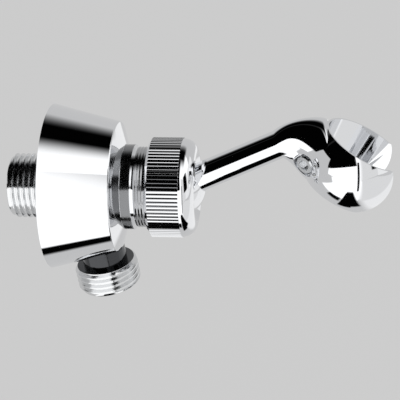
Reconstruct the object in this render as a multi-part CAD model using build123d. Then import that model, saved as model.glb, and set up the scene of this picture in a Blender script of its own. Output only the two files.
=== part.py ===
from build123d import *

import math
import os

# Wall-mounted hand shower holder with a water outlet. A conical brass body screws to the wall pipe
# by its inlet nipple and feeds the shower hose through its outlet nipple. A ball joint on its nose,
# held by a knurled nut, carries a bent arm that ends in a slotted cradle for the hand shower.
# Frame: origin on the inlet axis in the wall plane, +X out of the wall, +Z up. Millimetres.

os.makedirs("parts", exist_ok=True)

# Body: a cone that stands on the wall, with a blunt conical nose
BODY_BACK_R = 26.7
BODY_RIDGE_R = 21.2
BODY_LENGTH = 21.4
BODY_WALL = 2.6
NOSE_LENGTH = 2.1
NOSE_END_R = 13.9
RIDGE_ROUND = 0.5
BACK_RECESS_DEPTH = 11.0

# Spigot: the threaded socket on the nose that holds the ball
COLLAR_R = 13.7
COLLAR_LENGTH = 3.2
GROOVE_R = 12.0
GROOVE_LENGTH = 0.9
SPIGOT_R = 12.9
SPIGOT_LENGTH = 14.7
SOCKET_R = 11.3
SOCKET_FLOOR = 3.6

# Water way and its two half-inch pipe nipples; the outlet leans away from the wall
PIPE_R = 10.48
INLET_REACH = 13.8
INLET_GRIP = 9.0
INLET_GRIP_R = 9.4
INLET_BORE_R = 7.5
INLET_CHAMFER = 1.2
BOSS_WALL = 3.0
BOSS_SET_BACK = 0.6
OUTLET_X = 10.8
OUTLET_LEAN = 8.0
OUTLET_NECK_R = 7.3
OUTLET_NECK_LENGTH = 4.5
OUTLET_THREAD_LENGTH = 8.4
OUTLET_GRIP = 6.0
OUTLET_BORE_R = 5.2
OUTLET_CHAMFER = 0.9

# Ball joint
BALL_R = 10.0
BALL_PROUD = 1.2
BALL_FLAT_MARGIN = 0.2
STEM_R = 3.0
STEM_DEPTH = 8.0
PAD_LENGTH = 4.2
PAD_BORE_R = 5.5
SPRING_SECTION_R = 1.1
FRONT_RING_R = 11.2
FRONT_RING_BACK = 2.2
FRONT_RING_LENGTH = 3.2

# Knurled nut
NUT_R = 16.1
NUT_LENGTH = 15.3
NUT_THREAD_LENGTH = 10.1
KNURL_LENGTH = 9.9
KNURL_COUNT = 80
KNURL_DEPTH = 0.45
NUT_BACK_CHAMFER = 0.9
NUT_NOSE_ROUND = 4.4
NUT_MOUTH_R = 10.9
NUT_MOUTH_INNER_R = 9.4

# Arm and the flare that joins it to the cradle
ARM_R = 4.6
ARM_TILT = 25.0
ARM_STRAIGHT = 37.0
ARM_LEAD = 5.0
FLARE_MID_R = 9.8
FLARE_LIFT = 2.7
FLARE_MID_TILT = -6.0
NECK_STEP = 1.9
NECK_TILT = 6.6
NECK_SINK = 1.0

# Cradle: a ball cut level at the rim and at the bottom, bored on a taper and slotted to the front
HEAD_REACH = 23.6
HEAD_DROP = 6.4
HEAD_WALL = 2.6
HEAD_BOTTOM = 10.2
BORE_TILT = 29.0
BORE_TOP_R = 13.1
BORE_BOTTOM_R = 10.8
RIM_LAND = 0.6
SLOT_HALF = 10.0

# Grub screw in the near side of the flare, aimed at the bore's axis
SCREW_R = 2.9
SCREW_LENGTH = 3.0
SCREW_RISE = 4.2
SCREW_TURN = 34.0
SCREW_SINK_R = 4.2
SCREW_SINK = 1.0
SCREW_KEY_ACROSS = 3.0
SCREW_KEY_DEPTH = 1.4

# Clearances
THREAD_GAP = 0.06
RUN_GAP = 0.08
SEAT_GAP = 0.25
SLACK = 0.3

# Places worked out from the sizes above, along the inlet axis
NOSE_X = BODY_LENGTH + NOSE_LENGTH
GROOVE_X = NOSE_X + COLLAR_LENGTH
SPIGOT_X = GROOVE_X + GROOVE_LENGTH
SPIGOT_END_X = NOSE_X + SPIGOT_LENGTH
SOCKET_X = NOSE_X + SOCKET_FLOOR
BALL_X = SPIGOT_END_X + BALL_PROUD
SEAT_R = BALL_R + SEAT_GAP
BALL_FLAT = math.sqrt(BALL_R ** 2 - (ARM_R + BALL_FLAT_MARGIN) ** 2)
PAD_X = SOCKET_X + 2 * SPRING_SECTION_R + RUN_GAP
RING_X = BALL_X + FRONT_RING_BACK
RING_END_X = RING_X + FRONT_RING_LENGTH
NUT_X = RING_X - NUT_THREAD_LENGTH
NUT_END_X = NUT_X + NUT_LENGTH
KNURL_X = NUT_X + NUT_BACK_CHAMFER
KNURL_END_X = KNURL_X + KNURL_LENGTH
BALL_CENTRE = Vector(BALL_X, 0, 0)


def body_radius(x):
    """Outer radius of the body's cone at a distance from the wall."""
    return BODY_BACK_R + (BODY_RIDGE_R - BODY_BACK_R) * x / BODY_LENGTH


def seat_radius(x):
    """Radius of the ball's spherical seat at a place along the inlet axis."""
    return math.sqrt(SEAT_R ** 2 - (x - BALL_X) ** 2)


def in_plane(distance, angle):
    """Vector in the arm's plane at an angle above the horizontal."""
    turn = math.radians(angle)
    return Vector(distance * math.cos(turn), 0, distance * math.sin(turn))


def turned(*points):
    """Solid of revolution about the inlet axis, from (x, radius) corners."""
    return revolve(Plane.XZ * make_face(Polyline(*points, close=True)), Axis.X)


def turned_seat(start, end, outer_r, inner_r):
    """Ring about the inlet axis with the ball's spherical seat inside it."""
    first_r = max(inner_r, seat_radius(start))
    last_r = max(inner_r, seat_radius(end))
    seat_start = max(start, BALL_X - math.sqrt(SEAT_R ** 2 - inner_r ** 2))
    middle = (seat_start + end) / 2
    arc = ThreePointArc((seat_start, seat_radius(seat_start)), (middle, seat_radius(middle)), (end, last_r))
    rest = Polyline((end, last_r), (end, outer_r), (start, outer_r), (start, first_r))
    side = [arc, rest]
    if seat_start > start:
        side.append(Line((start, first_r), (seat_start, first_r)))
    return revolve(Plane.XZ * make_face(side), Axis.X)


def rod(start, end, radius):
    """Round bar along the inlet axis."""
    return Plane.YZ.offset(start) * extrude(Circle(radius), end - start)


# The outlet's axis, and how far along it the body's skin lies
BODY_SLOPE = (BODY_BACK_R - BODY_RIDGE_R) / BODY_LENGTH
LEAN = math.radians(OUTLET_LEAN)
OUTLET_SKIN = body_radius(OUTLET_X) / (math.cos(LEAN) + BODY_SLOPE * math.sin(LEAN))
OUTLET = Plane(origin=(OUTLET_X, 0, 0), x_dir=(0, 1, 0), z_dir=(math.sin(LEAN), 0, -math.cos(LEAN)))


def hanging(start, end, radius):
    """Round bar along the outlet's axis, by distances from the inlet axis."""
    return OUTLET.offset(start) * extrude(Circle(radius), end - start)


def make_wall_body():
    """Conical body, recessed at the back, with its nose, spigot and water ways."""
    skin = turned(
        (0, 0),
        (0, BODY_BACK_R),
        (BODY_LENGTH, BODY_RIDGE_R),
        (NOSE_X, NOSE_END_R),
        (NOSE_X, COLLAR_R),
        (GROOVE_X, COLLAR_R),
        (GROOVE_X, GROOVE_R),
        (SPIGOT_X, GROOVE_R),
        (SPIGOT_X, SPIGOT_R),
        (SPIGOT_END_X, SPIGOT_R),
        (SPIGOT_END_X, 0),
    )
    rings = skin.edges().filter_by(GeomType.CIRCLE)
    ridge = [ring for ring in rings if abs(ring.radius - BODY_RIDGE_R) < 1e-4]
    skin = fillet(ridge, RIDGE_ROUND)
    boss_r = INLET_GRIP_R + BOSS_WALL
    set_back = rod(0, BOSS_SET_BACK, boss_r)
    recess = turned(
        (0, boss_r),
        (0, BODY_BACK_R - BODY_WALL),
        (BACK_RECESS_DEPTH, body_radius(BACK_RECESS_DEPTH) - BODY_WALL),
        (BACK_RECESS_DEPTH, boss_r),
    )
    recess -= hanging(0, 2 * BODY_BACK_R, OUTLET_NECK_R + BOSS_WALL)
    grip_hole = rod(0, INLET_GRIP, INLET_GRIP_R + THREAD_GAP)
    water_in = rod(0, OUTLET_X + OUTLET_BORE_R, INLET_BORE_R)
    outlet_hole = hanging(OUTLET_SKIN - OUTLET_GRIP, 2 * BODY_BACK_R, OUTLET_NECK_R + THREAD_GAP)
    water_out = hanging(0, OUTLET_SKIN, OUTLET_BORE_R)
    socket = rod(SOCKET_X, SPIGOT_END_X, SOCKET_R)
    return skin - recess - set_back - grip_hole - water_in - outlet_hole - water_out - socket


def make_inlet_nipple():
    """Half-inch nipple that screws into the wall pipe and into the back of the body."""
    tip = -INLET_REACH
    return turned(
        (tip, INLET_BORE_R),
        (tip, PIPE_R - INLET_CHAMFER),
        (tip + INLET_CHAMFER, PIPE_R),
        (0, PIPE_R),
        (0, INLET_GRIP_R),
        (INLET_GRIP, INLET_GRIP_R),
        (INLET_GRIP, INLET_BORE_R),
    )


def make_outlet_nipple():
    """Half-inch nipple under the body for the shower hose."""
    start = OUTLET_SKIN - OUTLET_GRIP
    shoulder = OUTLET_SKIN + OUTLET_NECK_LENGTH
    tip = shoulder + OUTLET_THREAD_LENGTH
    side = Polyline(
        (OUTLET_BORE_R, start),
        (OUTLET_NECK_R, start),
        (OUTLET_NECK_R, shoulder),
        (PIPE_R - OUTLET_CHAMFER, shoulder),
        (PIPE_R, shoulder + OUTLET_CHAMFER),
        (PIPE_R, tip - OUTLET_CHAMFER),
        (PIPE_R - OUTLET_CHAMFER, tip),
        (OUTLET_BORE_R, tip),
        close=True,
    )
    return OUTLET * revolve(Plane.XZ * make_face(side), Axis.Z)


def make_pad_spring():
    """Rubber ring that presses the pad against the ball."""
    ring_r = (SOCKET_R + PAD_BORE_R) / 2
    section = Pos(SOCKET_X + SPRING_SECTION_R, ring_r) * Circle(SPRING_SECTION_R)
    return revolve(Plane.XZ * section, Axis.X)


def make_ball_pad():
    """Nylon ring behind the ball, with a spherical seat."""
    return turned_seat(PAD_X, PAD_X + PAD_LENGTH, SOCKET_R - RUN_GAP, PAD_BORE_R)


def make_front_ring():
    """Nylon ring between the ball and the nut's lip."""
    return turned_seat(RING_X, RING_END_X, FRONT_RING_R, 0)


def knurled_band():
    """Ring of straight ribs round the nut."""
    root_r = NUT_R - KNURL_DEPTH
    pitch = 360 / KNURL_COUNT
    rim = []
    for rib in range(KNURL_COUNT):
        for radius, share in ((root_r, 0.0), (NUT_R, 0.28), (NUT_R, 0.72)):
            turn = math.radians((rib + share) * pitch)
            rim.append((radius * math.cos(turn), radius * math.sin(turn)))
    core_r = (root_r + SPIGOT_R + THREAD_GAP) / 2
    outline = make_face(Polyline(*rim, close=True)) - Circle(core_r)
    return Plane.YZ.offset(KNURL_X) * extrude(outline, KNURL_LENGTH)


def make_knurled_nut():
    """Nut that clamps the ball, with ribs, a rounded nose and a flared mouth."""
    root_r = NUT_R - KNURL_DEPTH
    nose_r = NUT_R - KNURL_DEPTH / 2
    thread_r = SPIGOT_R + THREAD_GAP
    seat_r = FRONT_RING_R + RUN_GAP
    round_x = NUT_END_X - NUT_NOSE_ROUND
    face_r = nose_r - NUT_NOSE_ROUND
    chord = NUT_NOSE_ROUND * math.sqrt(0.5)
    nose = ThreePointArc((round_x, nose_r), (round_x + chord, face_r + chord), (NUT_END_X, face_r))
    rest = Polyline(
        (NUT_END_X, face_r),
        (NUT_END_X, NUT_MOUTH_R),
        (RING_END_X + SLACK, NUT_MOUTH_INNER_R),
        (RING_END_X + SLACK, seat_r),
        (RING_X, seat_r),
        (RING_X, thread_r),
        (NUT_X, thread_r),
        (NUT_X, root_r - NUT_BACK_CHAMFER),
        (KNURL_X, root_r),
        (KNURL_END_X, root_r),
        (KNURL_END_X, nose_r),
        (round_x, nose_r),
    )
    return revolve(Plane.XZ * make_face([nose, rest]), Axis.X) + knurled_band()


def make_ball_stem():
    """Ball with a flat and a tapped hole, into which the arm screws."""
    along = Plane(origin=BALL_CENTRE, x_dir=(0, 1, 0), z_dir=in_plane(1, ARM_TILT))
    beyond = along.offset(BALL_FLAT) * extrude(Circle(BALL_R), BALL_R)
    hole = along.offset(BALL_FLAT - STEM_DEPTH) * extrude(Circle(STEM_R + THREAD_GAP), STEM_DEPTH)
    return along * Sphere(BALL_R) - beyond - hole


# The arm's end, and the cradle's frame at the middle of its ball
HEAD_R = BORE_TOP_R + HEAD_WALL
RIM_RISE = math.sqrt(HEAD_R ** 2 - (BORE_TOP_R + RIM_LAND) ** 2)
NECK_R = HEAD_R - NECK_STEP
NECK_BACK = math.sqrt(HEAD_R ** 2 - NECK_R ** 2) - NECK_SINK
FLARE_START = BALL_CENTRE + in_plane(ARM_STRAIGHT, ARM_TILT)
HEAD_CENTRE = FLARE_START + Vector(HEAD_REACH, 0, -HEAD_DROP)
FLARE_END = HEAD_CENTRE - in_plane(NECK_BACK, NECK_TILT)
FLARE_MIDDLE = (FLARE_START + FLARE_END) * 0.5 + Vector(0, 0, FLARE_LIFT)
CRADLE = Plane(origin=HEAD_CENTRE, x_dir=in_plane(1, -BORE_TILT), z_dir=in_plane(1, 90 - BORE_TILT))


def across(centre, angle):
    """Plane square to the arm's centre line where it runs at an angle."""
    return Plane(origin=centre, x_dir=(0, 1, 0), z_dir=in_plane(1, angle))


def make_arm_bar():
    """Round bar with its threaded stem, opening out into the flare behind the cradle."""
    start = BALL_CENTRE + in_plane(BALL_FLAT, ARM_TILT)
    lead = FLARE_START - in_plane(ARM_LEAD, ARM_TILT)
    straight = across(start, ARM_TILT) * extrude(Circle(ARM_R), ARM_STRAIGHT - ARM_LEAD - BALL_FLAT)
    stem = across(start, ARM_TILT) * extrude(Circle(STEM_R), SLACK - STEM_DEPTH)
    flare = loft(
        [
            across(lead, ARM_TILT) * Circle(ARM_R),
            across(FLARE_START, ARM_TILT) * Circle(ARM_R),
            across(FLARE_MIDDLE, FLARE_MID_TILT) * Circle(FLARE_MID_R),
            across(FLARE_END, NECK_TILT) * Circle(NECK_R),
        ]
    )
    return straight + stem + flare


def make_bore():
    """Tapered bore, run on past the rim and the bottom, on the cradle's own axes."""
    taper = (BORE_TOP_R - BORE_BOTTOM_R) / (RIM_RISE + HEAD_BOTTOM)
    over = HEAD_R
    side = Polyline(
        (0, -HEAD_BOTTOM - over),
        (BORE_BOTTOM_R - taper * over, -HEAD_BOTTOM - over),
        (BORE_TOP_R + taper * over, RIM_RISE + over),
        (0, RIM_RISE + over),
        close=True,
    )
    return revolve(Plane.XZ * make_face(side), Axis.Z)


def make_slot():
    """Open front of the cradle, on the cradle's own axes."""
    reach = 2 * HEAD_R
    return Pos(reach / 2, 0, 0) * Box(reach, 2 * SLOT_HALF, 2 * reach)


def make_trims():
    """Blocks that cut the ball level above the rim and below the bottom, on the cradle's own axes."""
    wide = 6 * HEAD_R
    above = Pos(0, 0, RIM_RISE) * extrude(Rectangle(wide, wide), wide)
    below = Pos(0, 0, -HEAD_BOTTOM) * extrude(Rectangle(2 * HEAD_R, wide), -wide)
    return above, below


def make_casting():
    """Arm, flare and cradle in one, before the grub screw's hole."""
    above, below = make_trims()
    cast = CRADLE * (Sphere(HEAD_R) - above) + make_arm_bar()
    return cast - CRADLE * below - CRADLE * make_bore() - CRADLE * make_slot()


def screw_plane(cast):
    """Plane where the grub screw's axis leaves the casting, facing out."""
    aim = HEAD_CENTRE + in_plane(SCREW_RISE, 90 - BORE_TILT)
    turn = math.radians(180 + SCREW_TURN)
    outward = Vector(math.cos(turn), math.sin(turn), 0)
    hits = cast.find_intersection_points(Axis(aim, outward))
    reach = max((point - aim).dot(outward) for point, normal in hits)
    return Plane(origin=aim + outward * reach, x_dir=(0, 0, 1), z_dir=outward)


def make_holder_arm():
    """Arm and cradle, cast as one piece, with the tapped hole for the grub screw."""
    cast = make_casting()
    face = screw_plane(cast)
    hole = face * extrude(Circle(SCREW_R + THREAD_GAP), -HEAD_R)
    sink = face.offset(-SCREW_SINK) * extrude(Circle(SCREW_SINK_R), HEAD_R)
    return cast - hole - sink


def make_grub_screw():
    """Socket screw in the side of the flare."""
    face = screw_plane(make_casting()).offset(-SCREW_SINK)
    body = face * extrude(Circle(SCREW_R), -SCREW_LENGTH)
    key = face * extrude(RegularPolygon(SCREW_KEY_ACROSS / 2, 6, major_radius=False), -SCREW_KEY_DEPTH)
    return body - key


NODES = {
    "wall_body": make_wall_body,
    "inlet_nipple": make_inlet_nipple,
    "outlet_nipple": make_outlet_nipple,
    "pad_spring": make_pad_spring,
    "ball_pad": make_ball_pad,
    "front_ring": make_front_ring,
    "knurled_nut": make_knurled_nut,
    "ball_stem": make_ball_stem,
    "holder_arm": make_holder_arm,
    "grub_screw": make_grub_screw,
}

for name, make in NODES.items():
    export_step(make(), f"parts/{name}.step")
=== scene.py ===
# %% Load the frame
import math

import bmesh
import bpy
from mathutils import Matrix, Vector


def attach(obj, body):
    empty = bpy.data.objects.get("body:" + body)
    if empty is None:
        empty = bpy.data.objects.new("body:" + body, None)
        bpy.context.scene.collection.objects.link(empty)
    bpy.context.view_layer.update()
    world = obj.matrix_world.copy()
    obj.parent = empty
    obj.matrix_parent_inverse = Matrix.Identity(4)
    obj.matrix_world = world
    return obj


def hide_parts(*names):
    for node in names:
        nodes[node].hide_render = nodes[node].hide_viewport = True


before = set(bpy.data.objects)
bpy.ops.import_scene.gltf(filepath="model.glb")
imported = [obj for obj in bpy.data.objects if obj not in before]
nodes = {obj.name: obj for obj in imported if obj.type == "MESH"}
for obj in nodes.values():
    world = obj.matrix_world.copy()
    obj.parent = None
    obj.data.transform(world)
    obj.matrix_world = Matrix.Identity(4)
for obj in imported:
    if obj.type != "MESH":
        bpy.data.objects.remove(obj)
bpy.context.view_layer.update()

print("solids loaded:", ", ".join(sorted(nodes)))

# %% [markdown]
# This is a wall-mounted holder for a hand shower. A cone stands on the wall, takes water through a pipe
# nipple at the back and gives it to the hose through a nipple below. A ball under a knurled nut carries an
# arm, and the arm ends in a slotted cradle. Nearly all of it is chrome, so the picture is made by what the
# metal mirrors. We start with the camera, because every reflection depends on where it stands.
#
# A camera could be placed by eye. Here its place was worked out from circles that the object is known to
# have, such as the rims of the cone and of the nut, so it is written down as three axes and a position.

# %% Camera
MM = 0.001
CAMERA_RIGHT = Vector((0.99337, 0.10857, -0.03784))
CAMERA_UP = Vector((-0.01464, 0.44587, 0.89500))
CAMERA_BACK = CAMERA_RIGHT.cross(CAMERA_UP).normalized()
CAMERA_PLACE = Vector((95.56, -370.58, 185.39)) * MM

lens = bpy.data.cameras.new("photo_camera")
lens.sensor_fit = "HORIZONTAL"
lens.sensor_width = 36.0
lens.lens = 116.58
lens.shift_x = -0.00357
lens.shift_y = -0.0307
lens.clip_start = 0.01
camera = bpy.data.objects.new("photo_camera", lens)
turn = Matrix((CAMERA_RIGHT, CAMERA_UP, CAMERA_BACK)).transposed().to_4x4()
camera.matrix_world = Matrix.Translation(CAMERA_PLACE) @ turn
bpy.context.scene.collection.objects.link(camera)
bpy.context.scene.camera = camera
bpy.context.scene.view_settings.view_transform = "Standard"
print("camera stands", round(CAMERA_PLACE.length, 3), "m from the middle of the cone's rear rim")

# %% [markdown]
# Colours are written as sRGB hex values, as a paint chart gives them, but shaders work with linear light.
# One function does the change. A second one adds a node, gives it its settings and plugs in its links, so
# that each material below reads like a short list. The Mix node has several sockets called A, B and Result,
# one set for each kind of value, so its colours are reached by their places in the list of sockets.

# %% Colours and nodes
MIX_A = 6
MIX_B = 7
MIX_RESULT = 2


def linear(hex_colour):
    """Linear RGBA for an sRGB hex colour."""
    channels = [int(hex_colour[i:i + 2], 16) / 255 for i in (1, 3, 5)]
    return [c / 12.92 if c <= 0.04045 else ((c + 0.055) / 1.055) ** 2.4 for c in channels] + [1.0]


def add(tree, kind, inputs=None, **settings):
    """New node with its settings; an input is a value or another node's output."""
    made = tree.nodes.new(kind)
    for key, value in settings.items():
        setattr(made, key, value)
    for key, value in (inputs or {}).items():
        if isinstance(value, bpy.types.NodeSocket):
            tree.links.new(value, made.inputs[key])
        else:
            made.inputs[key].default_value = value
    return made


def empty_material(name):
    """Material with no nodes yet, and its node tree."""
    material = bpy.data.materials.new(name)
    material.use_nodes = True
    material.node_tree.nodes.clear()
    return material, material.node_tree


print("mid grey in linear light:", round(linear("#808080")[0], 3))

# %% [markdown]
# Chrome plate on cast and turned brass. The casting is polished on a wheel before it is plated, so the
# surface is a mirror that is nearly, but not quite, flat: the wheel leaves swells about a centimetre long.
# Wiping leaves a faint haze in patches. A perfect mirror would look like a computer drawing, so the swells
# go into a bump of a hundredth of a millimetre, and the haze into the roughness.

# %% Chrome plate
CHROME = "#ECEDEF"
SWELL_MM = 9.0
SWELL_DEPTH_MM = 0.010
HAZE_MM = 14.0
HAZE_ROUGH = (0.025, 0.07)


def polish(tree, place):
    """Roughness and normal of a polished plate: haze in patches and long swells."""
    haze = add(tree, "ShaderNodeTexNoise", {"Vector": place, "Scale": 1000 / HAZE_MM, "Detail": 4.0})
    gloss = add(tree, "ShaderNodeMapRange", {
        "Value": haze.outputs["Fac"], "From Min": 0.35, "From Max": 0.75,
        "To Min": HAZE_ROUGH[0], "To Max": HAZE_ROUGH[1]})
    swell = add(tree, "ShaderNodeTexNoise", {"Vector": place, "Scale": 1000 / SWELL_MM, "Detail": 1.0})
    relief = add(tree, "ShaderNodeBump", {"Height": swell.outputs["Fac"], "Distance": SWELL_DEPTH_MM * MM})
    return gloss.outputs["Result"], relief.outputs["Normal"]


def metal(tree, colour, gloss, normal):
    """Ends a tree as bare metal of this colour, roughness and normal."""
    shader = add(tree, "ShaderNodeBsdfPrincipled", {
        "Base Color": colour, "Metallic": 1.0, "Roughness": gloss, "Normal": normal})
    add(tree, "ShaderNodeOutputMaterial", {"Surface": shader.outputs["BSDF"]})


def chrome_plate(name):
    """Polished chrome on brass."""
    material, tree = empty_material(name)
    place = add(tree, "ShaderNodeTexCoord").outputs["Object"]
    metal(tree, linear(CHROME), *polish(tree, place))
    return material


def wear(node_name, material):
    """Gives a solid from the frame its finish."""
    slots = nodes[node_name].data.materials
    slots.clear()
    slots.append(material)
    print(node_name, "is finished in", material.name)


chrome = chrome_plate("chrome_plate")
wear("wall_body", chrome)
wear("ball_stem", chrome)

# %% [markdown]
# The nut is plated too, and its knurl is cut into the solid. The valleys of the knurl get painted shade:
# their colour is made near black for the shade that falls in them, so that the knurl looks black and white
# from afar. A mask by the distance from the nut's axis finds the valleys without any other object, and its
# two ends along the axis keep it off the smooth parts of the nut.

# %% Knurled nut
# Painted shade: the near-black colour of the knurl's valleys stands in for the shade that falls in them.
VALLEY_PAINTED_SHADE = "#1C1C1D"
VALLEY_R_MM = 15.72
RIDGE_R_MM = 16.06
KNURL_FROM_MM = 32.4
KNURL_TO_MM = 42.3


def knurled_chrome_painted_shade(name):
    """Polished chrome with painted shade in the valleys of the knurl."""
    material, tree = empty_material(name)
    place = add(tree, "ShaderNodeTexCoord").outputs["Object"]
    axes = add(tree, "ShaderNodeSeparateXYZ", {"Vector": place})
    across = add(tree, "ShaderNodeCombineXYZ", {"Y": axes.outputs["Y"], "Z": axes.outputs["Z"]})
    radius = add(tree, "ShaderNodeVectorMath", {0: across.outputs[0]}, operation="LENGTH")
    ridge_share = add(tree, "ShaderNodeMapRange", {
        "Value": radius.outputs["Value"], "From Min": VALLEY_R_MM * MM, "From Max": RIDGE_R_MM * MM})
    inside = [add(tree, "ShaderNodeMath", {0: axes.outputs["X"], 1: x * MM}, operation=kind).outputs[0]
              for x, kind in ((KNURL_FROM_MM, "GREATER_THAN"), (KNURL_TO_MM, "LESS_THAN"))]
    knurled = add(tree, "ShaderNodeMath", {0: inside[0], 1: inside[1]}, operation="MULTIPLY")
    dull = add(tree, "ShaderNodeMath", {0: 1.0, 1: ridge_share.outputs["Result"]}, operation="SUBTRACT")
    painted_valley_shade = add(tree, "ShaderNodeMath", {0: dull.outputs[0], 1: knurled.outputs[0]}, operation="MULTIPLY")
    # The painted shade is mixed in towards the valleys, inside the knurled band only.
    tint = add(tree, "ShaderNodeMix", {
        "Factor": painted_valley_shade.outputs[0], MIX_A: linear(CHROME), MIX_B: linear(VALLEY_PAINTED_SHADE)},
        data_type="RGBA")
    metal(tree, tint.outputs[MIX_RESULT], *polish(tree, place))
    return material


wear("knurled_nut", knurled_chrome_painted_shade("chrome_plate_knurled_painted_shade"))

# %% [markdown]
# Several pieces below are turned or drawn out, and such a shape grows from rim to rim. Extruding the open
# edges of a rim and scaling the new vertices about the axis makes a step, and moving them along it makes a
# wall. A ready-made cylinder would be quicker, but it couldn't start from the last turn of a thread.

# %% Rims
SAME_POINT = 1e-7
SAME_LEVEL = 1e-6


def rim_edges(mesh, height):
    """Open edges that lie at one height."""
    rims = [e for e in mesh.edges if e.is_boundary]
    return [e for e in rims if all(abs(v.co.z - height) < SAME_LEVEL for v in e.verts)]


def extruded(mesh, edges):
    """New rim drawn out of an old one: its vertices and its edges."""
    made = bmesh.ops.extrude_edge_only(mesh, edges=edges)["geom"]
    verts = [g for g in made if isinstance(g, bmesh.types.BMVert)]
    return verts, [g for g in made if isinstance(g, bmesh.types.BMEdge) and g.is_boundary]


def step_out(mesh, edges, radius, new_radius, rise):
    """Extrudes a rim to a new radius and height, and gives back the new rim."""
    verts, rim = extruded(mesh, edges)
    ratio = new_radius / radius
    bmesh.ops.scale(mesh, vec=(ratio, ratio, 1), verts=verts)
    bmesh.ops.translate(mesh, vec=(0, 0, rise), verts=verts)
    return rim


print("points closer than", SAME_POINT / MM, "mm become one")

# %% [markdown]
# The two nipples have half-inch pipe threads, 14 turns to the inch, and these are large enough to catch
# the light turn by turn, so they are modelled. A stack of separate rings would look close, but a real
# thread climbs. A spin that also steps along its axis makes a true helix: we draw one tooth as a few
# vertices, spin it, and each turn ends where the next one starts. Cutting the ends level, closing them
# towards the bore and bridging the two bore rims makes a closed tube.

# %% One threaded nipple, standing on its tip
PIPE_R = 10.48 * MM
PIPE_PITCH = 25.4 / 14 * MM
THREAD_DEPTH = 1.0 * MM
FLANK_FOOT = 0.14
FLANK_TOP = 0.42
STEPS_PER_TURN = 96
TURNS_BELOW = 1.2
SPARE_TURNS = 3
ON_PLANE = 1e-8


def cut_to_length(mesh, length):
    """Cuts a thread level at height 0 and at its length."""
    for height, outward in ((0.0, -1), (length, 1)):
        everything = mesh.verts[:] + mesh.edges[:] + mesh.faces[:]
        bmesh.ops.bisect_plane(
            mesh, geom=everything, dist=ON_PLANE, plane_co=(0, 0, height), plane_no=(0, 0, outward),
            clear_outer=True)


def chamfer_ends(mesh, length, chamfer):
    """Presses a thread inside the cones of its two chamfers."""
    for v in mesh.verts:
        from_end = min(v.co.z, length - v.co.z)
        limit = PIPE_R - max(0.0, chamfer - from_end)
        radius = v.co.xy.length
        if radius > limit:
            v.co.xy *= limit / radius


def threaded_tube(length, chamfer, neck_r, neck_length, bore_r):
    """Tube whose lower part is threaded and whose upper part is a plain neck."""
    root_r = PIPE_R - THREAD_DEPTH
    outline = ((root_r, 0), (root_r, FLANK_FOOT), (PIPE_R, FLANK_TOP),
               (PIPE_R, 1 - FLANK_TOP), (root_r, 1 - FLANK_FOOT), (root_r, 1))
    mesh = bmesh.new()
    tooth = [mesh.verts.new((r, 0, (share - TURNS_BELOW) * PIPE_PITCH)) for r, share in outline]
    profile = [mesh.edges.new(pair) for pair in zip(tooth, tooth[1:])]
    turns = math.ceil(length / PIPE_PITCH) + SPARE_TURNS
    bmesh.ops.spin(
        mesh, geom=tooth + profile, cent=(0, 0, 0), axis=(0, 0, 1), angle=math.tau * turns,
        steps=STEPS_PER_TURN * turns, dvec=(0, 0, PIPE_PITCH / STEPS_PER_TURN))
    bmesh.ops.remove_doubles(mesh, verts=mesh.verts, dist=SAME_POINT)
    cut_to_length(mesh, length)
    chamfer_ends(mesh, length, chamfer)
    end_r = min(root_r, PIPE_R - chamfer)
    tip_rim = step_out(mesh, rim_edges(mesh, 0.0), end_r, bore_r, 0)
    neck_rim = step_out(mesh, rim_edges(mesh, length), end_r, neck_r, 0)
    neck_rim = step_out(mesh, neck_rim, neck_r, neck_r, neck_length)
    top_rim = step_out(mesh, neck_rim, neck_r, bore_r, 0)
    bmesh.ops.bridge_loops(mesh, edges=tip_rim + top_rim)
    bmesh.ops.remove_doubles(mesh, verts=mesh.verts, dist=SAME_POINT)
    bmesh.ops.recalc_face_normals(mesh, faces=mesh.faces)
    return mesh


print("pipe thread: one turn every", round(PIPE_PITCH / MM, 3), "mm")

# %% [markdown]
# Every new piece ends in the same way. Its place goes into its mesh, so that the object itself stays at the
# origin. It is shaded smooth, with an edge wherever two faces meet at more than a given angle. It rides on
# a body of the frame, and where it stands for a solid, that solid is hidden and gets the same finish.

# %% Finishing a piece
SHARP_ABOVE_DEG = 32


def finished(name, mesh, place, body, node_name, material):
    """Object at the origin with its place in its mesh, riding on a body, perhaps in a solid's stead."""
    bmesh.ops.transform(mesh, matrix=place, verts=mesh.verts)
    data = bpy.data.meshes.new(name)
    mesh.to_mesh(data)
    open_edges = sum(1 for e in mesh.edges if not e.is_manifold)
    mesh.free()
    data.polygons.foreach_set("use_smooth", [True] * len(data.polygons))
    data.set_sharp_from_angle(angle=math.radians(SHARP_ABOVE_DEG))
    data.materials.append(material)
    piece = bpy.data.objects.new(name, data)
    bpy.context.scene.collection.objects.link(piece)
    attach(piece, body)
    if node_name:
        wear(node_name, material)
        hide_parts(node_name)
    print(name, "has", len(data.polygons), "faces and", open_edges, "open edges")


print("edges stay sharp above", SHARP_ABOVE_DEG, "degrees")

# %% [markdown]
# Threads are turned before they are plated and nobody polishes between the turns, so the plate there is a
# little duller than on the body, with fine marks from the cutting tool that run round the axis. They could
# be drawn as rings, but noise that is fine in every direction gives the same broken glint at this size. The
# real marks are finer than the noise, which is drawn as coarse as it needs to be to show. The neck behind
# the thread gets a painted shade, a dark colour for the shade that falls there under the cone. How deep a
# point lies behind the tip, measured along the nipple, tells thread and neck apart.

# %% Plated thread
THREAD_TINT = "#E2E3E4"
# Painted shade: the dark colour of the neck stands in for the shade behind the thread, under the cone.
NECK_PAINTED_SHADE = "#4A4B4D"
TOOL_MARK_MM = 0.35
THREAD_MARK_DEPTH_MM = 0.006
THREAD_PATCH_MM = 4.0
THREAD_ROUGH = (0.08, 0.2)


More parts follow.
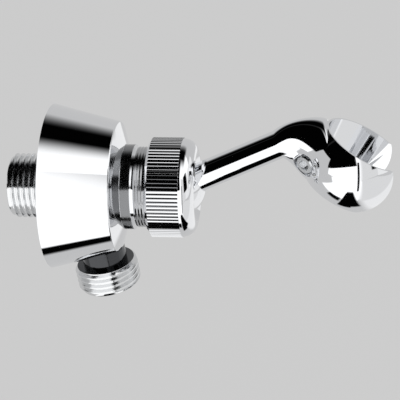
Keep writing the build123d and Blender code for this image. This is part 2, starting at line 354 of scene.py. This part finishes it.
def plated_thread(name, tip, inward, length):
    """Chrome over a cut thread: still a mirror, broken by fine marks, with painted shade on the neck behind
    it.
    """
    material, tree = empty_material(name)
    place = add(tree, "ShaderNodeTexCoord").outputs["Object"]
    from_tip = add(tree, "ShaderNodeVectorMath", {0: place, 1: tip}, operation="SUBTRACT").outputs[0]
    depth = add(tree, "ShaderNodeVectorMath", {0: from_tip, 1: inward}, operation="DOT_PRODUCT")
    neck_shade_mask = add(tree, "ShaderNodeMath", {0: depth.outputs["Value"], 1: length}, operation="GREATER_THAN")
    tint = add(tree, "ShaderNodeMix", {
        "Factor": neck_shade_mask.outputs[0], MIX_A: linear(THREAD_TINT), MIX_B: linear(NECK_PAINTED_SHADE)},
        data_type="RGBA")
    patches = add(tree, "ShaderNodeTexNoise", {
        "Vector": place, "Scale": 1000 / THREAD_PATCH_MM, "Detail": 3.0})
    gloss = add(tree, "ShaderNodeMapRange", {
        "Value": patches.outputs["Fac"], "From Min": 0.3, "From Max": 0.7,
        "To Min": THREAD_ROUGH[0], "To Max": THREAD_ROUGH[1]})
    marks = add(tree, "ShaderNodeTexNoise", {"Vector": place, "Scale": 1000 / TOOL_MARK_MM, "Detail": 2.0})
    relief = add(tree, "ShaderNodeBump", {
        "Height": marks.outputs["Fac"], "Distance": THREAD_MARK_DEPTH_MM * MM})
    metal(tree, tint.outputs[MIX_RESULT], gloss.outputs["Result"], relief.outputs["Normal"])
    return material


print("tool marks are drawn", TOOL_MARK_MM, "mm wide")

# %% [markdown]
# The inlet nipple lies on the axis that all the turned pieces share. Its tip points away from the cone,
# into the wall, so the upright tube is turned to run along +X and starts as far back as the thread is long.

# %% Inlet nipple
INLET_THREAD = 13.8 * MM
inlet_tip = Vector((-INLET_THREAD, 0, 0))
along_x = Matrix.Rotation(math.radians(90), 4, "Y")
inlet_tube = threaded_tube(
    length=INLET_THREAD, chamfer=1.2 * MM, neck_r=9.4 * MM, neck_length=9.0 * MM, bore_r=7.5 * MM)
finished(
    "inlet_nipple_threaded", inlet_tube, Matrix.Translation(inlet_tip) @ along_x, "body", "inlet_nipple",
    plated_thread("plated_pipe_thread", inlet_tip, Vector((1, 0, 0)), INLET_THREAD))

# %% [markdown]
# The outlet nipple hangs from the cone and leans eight degrees away from the wall, so that the hose clears
# the tiles. Its axis crosses the inlet's, and its tip lies a given reach down that axis. The painted shade
# on its neck starts a hair before the thread ends, so that the shoulder behind the last turn is shaded as
# well.

# %% Outlet nipple
OUTLET_LEAN = math.radians(8)
OUTLET_THREAD = 8.4 * MM
OUTLET_CROSSING = 10.8 * MM
OUTLET_REACH = 36.217 * MM
SHOULDER = 0.05 * MM
upward = Vector((-math.sin(OUTLET_LEAN), 0, math.cos(OUTLET_LEAN)))
outlet_tip = Vector((OUTLET_CROSSING, 0, 0)) - OUTLET_REACH * upward
leaning = Matrix.Rotation(-OUTLET_LEAN, 4, "Y")
outlet_tube = threaded_tube(
    length=OUTLET_THREAD, chamfer=0.9 * MM, neck_r=7.3 * MM, neck_length=10.5 * MM, bore_r=5.2 * MM)
finished(
    "outlet_nipple_threaded", outlet_tube, Matrix.Translation(outlet_tip) @ leaning, "body", "outlet_nipple",
    plated_thread("plated_hose_thread", outlet_tip, upward, OUTLET_THREAD - SHOULDER))

# %% [markdown]
# The polishing wheel can't reach between the cone and the nut. There the collar keeps the rings of the
# lathe, and the spigot shows the first turns of the thread that the nut runs on. Both get painted shade: a
# colour darker than the polished plate, for the shade in the gap between the cone and the nut. The rings
# could be bumps in a material, but then their outline would be straight. Here each is a thin sleeve over the
# solid: a saw-toothed line with a straight back, spun once round the axis.

# %% Toothed sleeves
SLEEVE_STEPS = 144
SLEEVE_WALL = 0.25 * MM


def toothed_sleeve(start, end, root, depth, teeth):
    """Closed sleeve round X with a saw-toothed outside."""
    pitch = (end - start) / teeth
    outline = [(start, root - SLEEVE_WALL), (start, root)]
    for tooth in range(teeth):
        outline.append((start + (tooth + 0.5) * pitch, root + depth))
        outline.append((start + (tooth + 1) * pitch, root))
    outline.append((end, root - SLEEVE_WALL))
    mesh = bmesh.new()
    verts = [mesh.verts.new((x, 0, radius)) for x, radius in outline]
    edges = [mesh.edges.new(pair) for pair in zip(verts, verts[1:] + verts[:1])]
    bmesh.ops.spin(
        mesh, geom=verts + edges, cent=(0, 0, 0), axis=(1, 0, 0), angle=math.tau, steps=SLEEVE_STEPS,
        use_merge=True)
    bmesh.ops.remove_doubles(mesh, verts=mesh.verts, dist=SAME_POINT)
    bmesh.ops.recalc_face_normals(mesh, faces=mesh.faces)
    return mesh


collar_sleeve = toothed_sleeve(
    start=23.55 * MM, end=26.65 * MM, root=13.72 * MM, depth=0.05 * MM, teeth=4)
spigot_sleeve = toothed_sleeve(
    start=27.65 * MM, end=31.40 * MM, root=12.92 * MM, depth=0.15 * MM, teeth=4)
print("each sleeve has", len(collar_sleeve.faces), "faces")

# %% [markdown]
# The plate on these rings follows the brass as the tool left it. The marks scatter the mirror a little, so
# the collar and the spigot show broad greys where the cone next to them shows sharp black and white. Their
# colours, the collar's darker than the spigot's, are painted shade for the gap between the cone and the nut.
# One noise drives both the roughness and the bump, since both come from the same marks.

# %% Lathe rings on the collar and the spigot
TURNED_MARK_DEPTH_MM = 0.008


def turned_metal(name, tint, rough, mark_mm, detail, depth_mm):
    """Metal as the tool left it: fine marks that nobody polished out."""
    material, tree = empty_material(name)
    place = add(tree, "ShaderNodeTexCoord").outputs["Object"]
    marks = add(tree, "ShaderNodeTexNoise", {"Vector": place, "Scale": 1000 / mark_mm, "Detail": detail})
    gloss = add(tree, "ShaderNodeMapRange", {
        "Value": marks.outputs["Fac"], "From Min": 0.3, "From Max": 0.7,
        "To Min": rough[0], "To Max": rough[1]})
    relief = add(tree, "ShaderNodeBump", {"Height": marks.outputs["Fac"], "Distance": depth_mm * MM})
    metal(tree, linear(tint), gloss.outputs["Result"], relief.outputs["Normal"])
    return material


# Painted shade: the collar's and the spigot's dark colours stand in for the shade between the cone and the
# nut.
collar_shaded_plate = turned_metal(
    "chrome_plate_turned_painted_shade", "#808183", rough=(0.11, 0.21), mark_mm=TOOL_MARK_MM, detail=2.0,
    depth_mm=TURNED_MARK_DEPTH_MM)
spigot_shaded_plate = turned_metal(
    "chrome_plate_thread_painted_shade", "#ACADAF", rough=(0.05, 0.15), mark_mm=TOOL_MARK_MM, detail=2.0,
    depth_mm=TURNED_MARK_DEPTH_MM)
as_made = Matrix.Identity(4)
finished("collar_rings", collar_sleeve, as_made, "body", None, collar_shaded_plate)
finished("spigot_turns", spigot_sleeve, as_made, "body", None, spigot_shaded_plate)

# %% [markdown]
# The arm is one casting: a round bar that bends over, flattens at its sides and then flares like a trumpet
# into the ball-shaped cradle. Where the trumpet meets the ball, its wall faces back to the shower wall, and
# that hollow is what the solid lacks, so this piece is made again. The bar and its trumpet are one ring of
# vertices, extruded from station to station. Three stations are given, each with its middle in millimetres,
# its lean in degrees and its half height, and a smooth curve fills in the rest. The width lags behind the
# height: that makes the hollow.

# %% Bar and trumpet
ARM_R = 4.6
BAR_START = Vector((47.351, 0, 3.708))
STATIONS = (
    (Vector((72.933, 0, 15.637)), 25.0, ARM_R),
    (Vector((81.511, 0, 14.766)), -6.0, 9.8),
    (Vector((90.089, 0, 8.491)), 6.6, 13.8),
)
TRUMPET_WIDTH = 14.0
TRUMPET_POWER = 1.55
TRUMPET_FROM = 0.2
TRUMPET_STEPS = 40
RING_SIDES = 112


def between(values, t):
    """Smooth value that passes three given ones at 0, a half and 1."""
    first, middle, last = values
    return first * (1 - t) * (1 - 2 * t) + middle * 4 * t * (1 - t) + last * t * (2 * t - 1)


def station(middle, lean, half_height, half_width):
    """Matrix that carries a unit ring to its place along the arm, in metres."""
    turned = Matrix.Rotation(math.radians(90 - lean), 4, "Y")
    stretched = Matrix.Diagonal((half_height * MM, half_width * MM, 1, 1))
    return Matrix.Translation(middle * MM) @ turned @ stretched


def trumpet_station(t):
    """Matrix of the ring at a share of the trumpet's length."""
    middle, lean, height = (between(column, t) for column in zip(*STATIONS))
    part = max(0, (t - TRUMPET_FROM) / (1 - TRUMPET_FROM))
    width = ARM_R + (TRUMPET_WIDTH - ARM_R) * part ** TRUMPET_POWER
    return station(middle, lean, height, width)


def trumpet():
    """Closed bar that bends and widens until it ends inside the ball."""
    bar_lean = STATIONS[0][1]
    places = [station(BAR_START, bar_lean, ARM_R, ARM_R)]
    places += [trumpet_station(step / TRUMPET_STEPS) for step in range(TRUMPET_STEPS + 1)]
    mesh = bmesh.new()
    verts = bmesh.ops.create_circle(mesh, cap_ends=True, segments=RING_SIDES, radius=1.0)["verts"]
    bmesh.ops.transform(mesh, matrix=places[0], verts=verts)
    edges = mesh.edges[:]
    for old, new in zip(places, places[1:]):
        verts, edges = extruded(mesh, edges)
        bmesh.ops.transform(mesh, matrix=new @ old.inverted(), verts=verts)
    bmesh.ops.holes_fill(mesh, edges=edges)
    bmesh.ops.recalc_face_normals(mesh, faces=mesh.faces)
    return mesh


bar = trumpet()
print("bar and trumpet have", len(bar.faces), "faces")

# %% [markdown]
# The cradle leans forward, so that the hand shower points at the bather, and it is easiest to make in a
# frame that leans with it. The ball and the neck are cut level in that frame. A Boolean with a flat box left
# open edges in so fine a mesh, so the cut is a bisection, whose open rim is filled.

# %% Level cuts
HEAD_CENTRE = Vector((96.533, 0, 9.237)) * MM
BORE_TILT = math.radians(29)
cradle_frame = Matrix.Translation(HEAD_CENTRE) @ Matrix.Rotation(BORE_TILT, 4, "Y")


def cut_level(mesh, height, side, reach):
    """Cuts off what lies above (side 1) or below (side -1) a height in the cradle's frame, and closes it.

    What lies further back along the arm than the reach is left alone.
    """
    to_cradle = cradle_frame.inverted()
    verts = [v for v in mesh.verts if (to_cradle @ v.co).x > -reach]
    near = set(verts)
    edges = [e for e in mesh.edges if near.issuperset(e.verts)]
    faces = [f for f in mesh.faces if near.issuperset(f.verts)]
    cut = bmesh.ops.bisect_plane(
        mesh, geom=verts + edges + faces, dist=SAME_POINT, plane_co=cradle_frame @ Vector((0, 0, height)),
        plane_no=cradle_frame.to_3x3() @ Vector((0, 0, side)), clear_outer=True)["geom_cut"]
    bmesh.ops.holes_fill(mesh, edges=[g for g in cut if isinstance(g, bmesh.types.BMEdge)])
    bmesh.ops.recalc_face_normals(mesh, faces=mesh.faces)


print("the cradle leans", round(math.degrees(BORE_TILT), 1), "degrees")

# %% [markdown]
# The cradle itself is a ball, cut level at the rim and at the foot, with a tapered bore for the hand shower
# and a slot that lets the hose in from the front. All three are simple solids, and the two cutters are made
# longer than the ball, so that no face of a cutter lies in a face of the ball.

# %% Ball, bore and slot
HEAD_R = 15.7 * MM
HEAD_SIDES = 144
HEAD_RINGS = 96
RIM_RISE = 7.668 * MM
FOOT_DROP = 10.2 * MM
BORE_TOP_R = 13.1 * MM
BORE_FOOT_R = 10.8 * MM
CUTTER_ABOVE = 6 * MM
CUTTER_BELOW = 8 * MM
SLOT_HALF = 10.0 * MM
SLOT_REACH = 40 * MM


def solid_ball():
    """Ball of the cradle, cut level at its rim and at its foot."""
    mesh = bmesh.new()
    bmesh.ops.create_uvsphere(mesh, u_segments=HEAD_SIDES, v_segments=HEAD_RINGS, radius=HEAD_R)
    bmesh.ops.transform(mesh, matrix=cradle_frame, verts=mesh.verts)
    cut_level(mesh, RIM_RISE, 1, HEAD_R * 2)
    cut_level(mesh, -FOOT_DROP, -1, HEAD_R * 2)
    return mesh


def bore_cutter():
    """Cone as wide as the bore, longer than the ball at both ends."""
    height = RIM_RISE + FOOT_DROP
    spread = (BORE_TOP_R - BORE_FOOT_R) / height
    mesh = bmesh.new()
    bmesh.ops.create_cone(
        mesh, cap_ends=True, segments=HEAD_SIDES, radius1=BORE_FOOT_R - CUTTER_BELOW * spread,
        radius2=BORE_TOP_R + CUTTER_ABOVE * spread, depth=height + CUTTER_ABOVE + CUTTER_BELOW)
    middle = (RIM_RISE + CUTTER_ABOVE - FOOT_DROP - CUTTER_BELOW) / 2
    bmesh.ops.transform(mesh, matrix=cradle_frame @ Matrix.Translation((0, 0, middle)), verts=mesh.verts)
    return mesh


def slot_cutter():
    """Box that opens the bore to the front, longer than the ball all round."""
    mesh = bmesh.new()
    bmesh.ops.create_cube(mesh, size=1.0)
    stretched = Matrix.Diagonal((SLOT_REACH, 2 * SLOT_HALF, 2 * SLOT_REACH, 1))
    forward = Matrix.Translation((SLOT_REACH / 2, 0, 0))
    bmesh.ops.transform(mesh, matrix=cradle_frame @ forward @ stretched, verts=mesh.verts)
    return mesh


print("bore tapers from", round(2 * BORE_TOP_R / MM, 1), "to", round(2 * BORE_FOOT_R / MM, 1), "mm")

# %% [markdown]
# A Boolean modifier joins and cuts the solids. Its tolerances suit things that are metres long, so the
# scratch objects are a thousand times too large, and the result is made small again. The scratch objects
# are thrown away afterwards, and the result is kept as a mesh of its own, with no modifier left on it.

# %% Joining and cutting
SAME_POINT_MM = 1e-3


def scratch_object(name, mesh):
    """Object for a Boolean, in millimetres, to be thrown away."""
    bmesh.ops.remove_doubles(mesh, verts=mesh.verts, dist=SAME_POINT)
    bmesh.ops.recalc_face_normals(mesh, faces=mesh.faces)
    bmesh.ops.scale(mesh, vec=(1 / MM, 1 / MM, 1 / MM), verts=mesh.verts)
    print(name, "takes up", round(mesh.calc_volume(signed=True)), "cubic millimetres")
    data = bpy.data.meshes.new(name)
    mesh.to_mesh(data)
    mesh.free()
    made = bpy.data.objects.new(name, data)
    bpy.context.scene.collection.objects.link(made)
    return made


def joined_and_cut(base, steps):
    """Mesh of a base after a list of Boolean steps."""
    stock = scratch_object("stock", base)
    tools = []
    for operation, name, mesh in steps:
        tool = scratch_object(name, mesh)
        step = stock.modifiers.new(name, "BOOLEAN")
        step.operation = operation
        step.solver = "EXACT"
        step.object = tool
        tools.append(tool)
    bpy.context.view_layer.update()
    shape = stock.evaluated_get(bpy.context.evaluated_depsgraph_get())
    mesh = bmesh.new()
    mesh.from_mesh(shape.to_mesh())
    for scrap in [stock] + tools:
        data = scrap.data
        bpy.data.objects.remove(scrap)
        bpy.data.meshes.remove(data)
    bmesh.ops.remove_doubles(mesh, verts=mesh.verts, dist=SAME_POINT_MM)
    bmesh.ops.recalc_face_normals(mesh, faces=mesh.faces)
    bmesh.ops.scale(mesh, vec=(MM, MM, MM), verts=mesh.verts)
    return mesh


print("scratch objects are", round(1 / MM), "times too large")

# %% [markdown]
# A grub screw sits in the hollow flank, square to the metal. A short step along the trumpet and another one
# round it give two directions that lie in the surface, and their cross product leaves it. A frame on that
# direction places the seat here and the screw later, and both follow when the trumpet changes.

# %% Seat of the screw
SCREW_SHARE = 0.5
SCREW_TURN = math.radians(-69.5)
SHORT_STEP = 0.01
SEAT_R = 3.9 * MM
SEAT_DEPTH = 1.4 * MM
SEAT_ABOVE = 5 * MM
SEAT_SIDES = 64


def on_flank(t, turn):
    """Point on the trumpet, by share of its length and turn round its ring."""
    return trumpet_station(t) @ Vector((math.cos(turn), math.sin(turn), 0))


def flank_frame(t, turn):
    """Frame on the trumpet whose Z leaves the metal."""
    here = on_flank(t, turn)
    onward = on_flank(t + SHORT_STEP, turn) - here
    around = on_flank(t, turn + SHORT_STEP) - here
    normal = onward.cross(around).normalized()
    if normal.dot(here - trumpet_station(t).translation) < 0:
        normal.negate()
    return Matrix.Translation(here) @ normal.to_track_quat("Z", "X").to_matrix().to_4x4()


def seat_cutter(place):
    """Cylinder that sinks the screw's seat into the trumpet."""
    mesh = bmesh.new()
    bmesh.ops.create_cone(
        mesh, cap_ends=True, segments=SEAT_SIDES, radius1=SEAT_R, radius2=SEAT_R,
        depth=SEAT_DEPTH + SEAT_ABOVE)
    middle = Matrix.Translation((0, 0, (SEAT_ABOVE - SEAT_DEPTH) / 2))
    bmesh.ops.transform(mesh, matrix=place @ middle, verts=mesh.verts)
    return mesh


screw_frame = flank_frame(SCREW_SHARE, SCREW_TURN)
print("screw sits at", [round(x / MM, 1) for x in screw_frame.translation], "mm")

# %% [markdown]
# Now the casting is put together. The trumpet is cut level first, a hair above the ball's foot, because a
# Boolean can't choose between two faces that lie in each other. Only the part near the cradle is cut, since
# the bar dips below that level further back.

# %% Arm casting
FOOT_HAIR = 0.05 * MM
FOOT_REACH = 18 * MM
cut_level(bar, FOOT_HAIR - FOOT_DROP, -1, FOOT_REACH)
casting = joined_and_cut(bar, (
    ("UNION", "ball", solid_ball()),
    ("DIFFERENCE", "bore", bore_cutter()),
    ("DIFFERENCE", "slot", slot_cutter()),
    ("DIFFERENCE", "seat", seat_cutter(screw_frame)),
))
finished("arm_casting", casting, as_made, "arm", "holder_arm", chrome)

# %% [markdown]
# Inside the nut, the ball runs between two rings of natural nylon. Moulded nylon is a warm off-white that
# lets a little light in, with a dull skin. Its colour clouds slightly, as moulded parts do, and the skin is
# grained as fine as the mould was.

# %% Nylon rings
CLOUD_MM = 6.0
GRAIN_MM = 0.3
GRAIN_DEPTH_MM = 0.01


def moulded_nylon(name):
    """Off-white nylon with a faint cloud and a dull skin."""
    material, tree = empty_material(name)
    place = add(tree, "ShaderNodeTexCoord").outputs["Object"]
    cloud = add(tree, "ShaderNodeTexNoise", {"Vector": place, "Scale": 1000 / CLOUD_MM, "Detail": 3.0})
    tint = add(tree, "ShaderNodeMix", {
        "Factor": cloud.outputs["Fac"], MIX_A: linear("#E4E0D4"), MIX_B: linear("#F0EEE6")},
        data_type="RGBA")
    grain = add(tree, "ShaderNodeTexNoise", {"Vector": place, "Scale": 1000 / GRAIN_MM, "Detail": 2.0})
    relief = add(tree, "ShaderNodeBump", {"Height": grain.outputs["Fac"], "Distance": GRAIN_DEPTH_MM * MM})
    shader = add(tree, "ShaderNodeBsdfPrincipled", {
        "Base Color": tint.outputs[MIX_RESULT], "Roughness": 0.45, "IOR": 1.53,
        "Normal": relief.outputs["Normal"]})
    add(tree, "ShaderNodeOutputMaterial", {"Surface": shader.outputs["BSDF"]})
    return material


nylon = moulded_nylon("natural_nylon")
wear("ball_pad", nylon)
wear("front_ring", nylon)

# %% [markdown]
# Behind the rear ring a black rubber ring presses the ball forward. It is out of sight, but it gets its
# finish all the same: rubber is dark grey rather than black, and dusty where it has been handled.

# %% Rubber ring
BLOOM_MM = 2.5


def black_rubber(name):
    """Dark rubber with a dusty bloom."""
    material, tree = empty_material(name)
    place = add(tree, "ShaderNodeTexCoord").outputs["Object"]
    bloom = add(tree, "ShaderNodeTexNoise", {"Vector": place, "Scale": 1000 / BLOOM_MM, "Detail": 4.0})
    tint = add(tree, "ShaderNodeMix", {
        "Factor": bloom.outputs["Fac"], MIX_A: linear("#1C1C1D"), MIX_B: linear("#343435")},
        data_type="RGBA")
    shader = add(tree, "ShaderNodeBsdfPrincipled", {
        "Base Color": tint.outputs[MIX_RESULT], "Roughness": 0.7, "IOR": 1.52})
    add(tree, "ShaderNodeOutputMaterial", {"Surface": shader.outputs["BSDF"]})
    return material


wear("pad_spring", black_rubber("black_rubber"))

# %% [markdown]
# The grub screw is stainless steel, turned and left bare, so it is greyer and duller than the chrome around
# it. Turning leaves rings and cold forming leaves the socket speckled, and one fine noise stands for both.
# The screw starts as a hexagon inside a ring. Bridging the two makes its end face, the ring is stepped out
# to the chamfer and the shank, and the hexagon is sunk to make the socket.

# %% Grub screw
SCREW_R = 3.2 * MM
SCREW_LENGTH = 4.0 * MM
SCREW_CHAMFER = 0.4 * MM
SCREW_SIDES = 48
SOCKET_R = 1.9 * MM
SOCKET_DEPTH = 1.8 * MM


def socket_screw():
    """Grub screw whose end lies at height 0, with a hexagon sunk into it."""
    face_r = SCREW_R - SCREW_CHAMFER
    mesh = bmesh.new()
    bmesh.ops.create_circle(mesh, cap_ends=False, segments=6, radius=SOCKET_R)
    hexagon = mesh.edges[:]
    bmesh.ops.create_circle(mesh, cap_ends=False, segments=SCREW_SIDES, radius=face_r)
    ring = [e for e in mesh.edges if e not in hexagon]
    bmesh.ops.bridge_loops(mesh, edges=mesh.edges[:])
    ring = step_out(mesh, ring, face_r, SCREW_R, -SCREW_CHAMFER)
    ring = step_out(mesh, ring, SCREW_R, SCREW_R, SCREW_CHAMFER - SCREW_LENGTH)
    hexagon = step_out(mesh, hexagon, SOCKET_R, SOCKET_R, -SOCKET_DEPTH)
    bmesh.ops.holes_fill(mesh, edges=ring + hexagon)
    bmesh.ops.recalc_face_normals(mesh, faces=mesh.faces)
    return mesh


steel = turned_metal(
    "bare_stainless_steel", "#D6D8DA", rough=(0.14, 0.22), mark_mm=0.4, detail=3.0, depth_mm=0.003)
finished("grub_screw_end", socket_screw(), screw_frame, "arm", "grub_screw", steel)

# %% [markdown]
# The background of the picture is an even pale grey, and the world gives it. Turning up the world until it
# shows that grey would also light the object too much. Light Path tells the two uses apart: what the camera
# or a mirror sees is the pale grey itself, and what lights the object is a plain level.

# %% World
PALE = linear("#CCCCCC")
LIGHT_LEVEL = 0.6


def seen(tree):
    """1 where a ray comes from the camera, a mirror or a glass, and 0 where it only lights."""
    path = add(tree, "ShaderNodeLightPath")
    first = add(tree, "ShaderNodeMath", {
        0: path.outputs["Is Camera Ray"], 1: path.outputs["Is Glossy Ray"]}, operation="MAXIMUM")
    return add(tree, "ShaderNodeMath", {
        0: first.outputs[0], 1: path.outputs["Is Transmission Ray"]}, operation="MAXIMUM").outputs[0]


def pale_world(name):
    """World that shows the pale grey and lights at a plain level."""
    world = bpy.data.worlds.new(name)
    world.use_nodes = True
    tree = world.node_tree
    tree.nodes.clear()
    shown = add(tree, "ShaderNodeBackground", {"Color": PALE, "Strength": 1.0})
    lit = add(tree, "ShaderNodeBackground", {"Color": PALE, "Strength": LIGHT_LEVEL})
    mixed = add(tree, "ShaderNodeMixShader", {
        0: seen(tree), 1: lit.outputs["Background"], 2: shown.outputs["Background"]})
    add(tree, "ShaderNodeOutputWorld", {"Surface": mixed.outputs["Shader"]})
    return world


bpy.context.scene.world = pale_world("pale_studio")
print("the world lights at", LIGHT_LEVEL, "of what it shows")

# %% [markdown]
# The floor has the same grey as the world, so no horizon shows. It stays partly diffuse, so it keeps the
# object's shadow, and its glow is a little stronger than the world's to make up for that part. The holder
# hangs on a wall, so the floor lies well below it.

# %% Floor
FLOOR_Z = -0.235
FLOOR_HALF = 4.0
FLOOR_GLOW = 1.07
GLOW_SHARE = 0.9


def floor_paint(name):
    """Matt pale grey that also glows towards the camera and the mirrors."""
    material, tree = empty_material(name)
    matt = add(tree, "ShaderNodeBsdfDiffuse", {"Color": PALE})
    glow = add(tree, "ShaderNodeEmission", {"Color": PALE, "Strength": FLOOR_GLOW})
    share = add(tree, "ShaderNodeMath", {0: seen(tree), 1: GLOW_SHARE}, operation="MULTIPLY")
    mixed = add(tree, "ShaderNodeMixShader", {
        0: share.outputs[0], 1: matt.outputs["BSDF"], 2: glow.outputs["Emission"]})
    add(tree, "ShaderNodeOutputMaterial", {"Surface": mixed.outputs["Shader"]})
    return material


def sheet(name, corner, across, along, material):
    """Flat sheet of the studio from one corner and its two edges, in metres."""
    corner, across, along = Vector(corner), Vector(across), Vector(along)
    mesh = bmesh.new()
    places = (corner, corner + across, corner + across + along, corner + along)
    mesh.faces.new([mesh.verts.new(place) for place in places])
    data = bpy.data.meshes.new(name)
    mesh.to_mesh(data)
    mesh.free()
    data.materials.append(material)
    made = bpy.data.objects.new(name, data)
    bpy.context.scene.collection.objects.link(made)
    print("stage:", name, round(across.length, 2), "by", round(along.length, 2), "m")
    return made


sheet("floor", (-FLOOR_HALF, -FLOOR_HALF, FLOOR_Z), (2 * FLOOR_HALF, 0, 0), (0, 2 * FLOOR_HALF, 0),
      floor_paint("pale_floor"))

# %% [markdown]
# Chrome has no colour of its own, so a studio shapes it with cards, which the metal mirrors and the camera
# doesn't see. An area lamp could stand for a white card, but it ends in a hard edge, and no lamp is black. A
# sheet that glows in one tone can be black too, and it can fade to clear at its edges, as a card does that
# stands close and out of focus.
#
# In front stands a white wall, bright on the left and dimmer on the right, for the broad highlights of the
# cone and the nut. A black card high in front gives the dark band along the top of the cone. Another black
# card on the right and a narrow strip close by darken the cradle and the nose of the nut.

# %% Cards in front
WHITE = "#FFFFFF"
BLACK = "#020202"
BRIGHT = 1.3
DIM = 0.8
PLAIN = 1.0
EDGE = (0.05, 0.05, 0.05, 0.05)


def card(name, corner, across, along, hex_colour, strength, fades):
    """Card of one even tone; each edge fades to clear over its own width in metres.

    The fades are those at the start and the end of across, then of along.
    """
    material, tree = empty_material(name)
    place = add(tree, "ShaderNodeTexCoord").outputs["Object"]
    from_corner = add(tree, "ShaderNodeVectorMath", {0: place, 1: corner}, operation="SUBTRACT").outputs[0]
    cover = 1.0
    for edge, start_fade, end_fade in ((Vector(across), *fades[:2]), (Vector(along), *fades[2:])):
        direction = edge.normalized()
        run = add(tree, "ShaderNodeVectorMath", {0: from_corner, 1: direction}, operation="DOT_PRODUCT")
        left = add(tree, "ShaderNodeMath", {0: edge.length, 1: run.outputs["Value"]}, operation="SUBTRACT")
        for margin, fade in ((run.outputs["Value"], start_fade), (left.outputs[0], end_fade)):
            soft = add(tree, "ShaderNodeMapRange", {
                "Value": margin, "From Min": 0.0, "From Max": fade}, interpolation_type="SMOOTHSTEP")
            both = add(tree, "ShaderNodeMath", {0: soft.outputs["Result"], 1: cover}, operation="MULTIPLY")
            cover = both.outputs[0]
    clear = add(tree, "ShaderNodeBsdfTransparent")
    tone = add(tree, "ShaderNodeEmission", {"Color": linear(hex_colour), "Strength": strength})
    mixed = add(tree, "ShaderNodeMixShader", {
        0: cover, 1: clear.outputs["BSDF"], 2: tone.outputs["Emission"]})
    add(tree, "ShaderNodeOutputMaterial", {"Surface": mixed.outputs["Shader"]})
    sheet(name, corner, across, along, material).visible_camera = False


card("front_white", (-1.5, -1.0, -0.75), (2.0, 0, 0), (0, 0, 1.9), WHITE, BRIGHT, (0.05, 0.2, 0.05, 0.05))
card("front_right", (0.2, -1.02, -0.75), (1.55, 0, 0), (0, 0, 1.9), WHITE, DIM, EDGE)
card("right_black", (0.85, -0.9, 0.12), (0.4, 0.6, 0), (0, 0, 1.1), BLACK, PLAIN, (0.08, 0.08, 0.05, 0.1))
card("near_strip", (0.125, -0.2, -0.16), (0.02, 0, 0), (0, 0, 0.28), BLACK, PLAIN,
     (0.004, 0.004, 0.01, 0.01))
card("front_black", (-1.6, -0.95, 0.10), (1.86, 0, 0.26), (0, 0, 1.2), BLACK, PLAIN,
     (0.05, 0.06, 0.1, 0.05))

# %% [markdown]
# Overhead, a white card on the right fills the bore of the cradle. Two black ones on the left give the dark
# bands along the top of the bar and the neck. The far one fades over nearly a metre, so that the bands end
# in a soft grey, and the near one closes the gap to the wall in front. A white wall far to the right lights
# the ends of the nut and the cradle.

# %% Cards overhead and to the right
OVERHEAD_LEVEL = 1.25
SIDE_LEVEL = 0.95
card("overhead_white", (0.0, -1.4, 1.05), (1.8, 0, 0), (0, 1.9, 0), WHITE, OVERHEAD_LEVEL, EDGE)
card("overhead_black", (-2.0, -0.38, 1.0), (2.75, 0, 0), (0, 1.85, 0), BLACK, PLAIN, (0.1, 0.3, 0.5, 0.95))
card("left_black", (-2.0, -1.7, 0.98), (2.2, 0, 0), (0, 1.85, 0), BLACK, PLAIN, (0.1, 0.15, 0.05, 0.2))
card("right_white", (1.5, -1.0, -0.6), (0, 2.2, 0), (0, 0, 1.5), WHITE, SIDE_LEVEL, EDGE)

# %% [markdown]
# On the floor the white of the walls goes on, in four cards. Two of them overlap the first one widely and
# lie a millimetre or two off its level, so that none flickers through another. Three small black cards
# float close under the object. They give the thin dark lines at the lower edge of the cone, along the bar
# and under the cradle.

# %% Cards below
LOW = FLOOR_Z + 0.005
NEAR_LOW = -0.105
APART = 0.001
card("low_white", (-0.35, -1.06, LOW), (0.85, 0, 0), (0, 0.97, 0), WHITE, BRIGHT, (0.05, 0.2, 0.05, 0.03))
card("low_front_right", (0.42, -1.06, LOW + 2 * APART), (0.76, 0.25, 0), (-0.32, 0.97, 0), WHITE, DIM,
     (0.06, 0.05, 0.05, 0.03))
card("low_left_white", (0.0, -0.09, LOW - APART), (-0.92, -0.77, 0), (0.45, -0.54, 0), WHITE, BRIGHT,
     EDGE)
card("low_right_white", (0.13, -0.12, LOW), (0.8, 0, 0), (0, 1.1, 0), WHITE, SIDE_LEVEL,
     (0.05, 0.05, 0.02, 0.05))
card("low_black_body", (-0.01, -0.062, NEAR_LOW), (0.064, 0, 0), (0, 0.038, 0), BLACK, PLAIN,
     (0.005, 0.008, 0.006, 0.012))
card("low_black_arm", (0.073, 0.0, NEAR_LOW), (-0.012, -0.142, 0), (0.048, -0.008, 0), BLACK, PLAIN,
     (0.012, 0.02, 0.004, 0.008))
card("low_black_bar", (0.053, 0.003, NEAR_LOW - 2 * APART), (0.006, -0.125, 0), (0.040, 0, 0), BLACK,
     PLAIN, (0.008, 0.008, 0.004, 0.004))

# %% [markdown]
# One large soft lamp in front and above lights what isn't metal, at a plain level. The metal doesn't mirror
# it, because the cards already stand where its picture would be.

# %% Lamp
LAMP_AIM = Vector((0.05, 0, 0))
lamp = bpy.data.lights.new("soft_lamp", "AREA")
lamp.shape = "RECTANGLE"
lamp.size = 1.2
lamp.size_y = 0.8
lamp.energy = 6.0
soft_lamp = bpy.data.objects.new("soft_lamp", lamp)
soft_lamp.location = (0.4, -0.9, 0.9)
soft_lamp.rotation_euler = (LAMP_AIM - soft_lamp.location).to_track_quat("-Z", "Y").to_euler()
soft_lamp.visible_glossy = False
bpy.context.scene.collection.objects.link(soft_lamp)
print("lamp of", lamp.energy, "W")
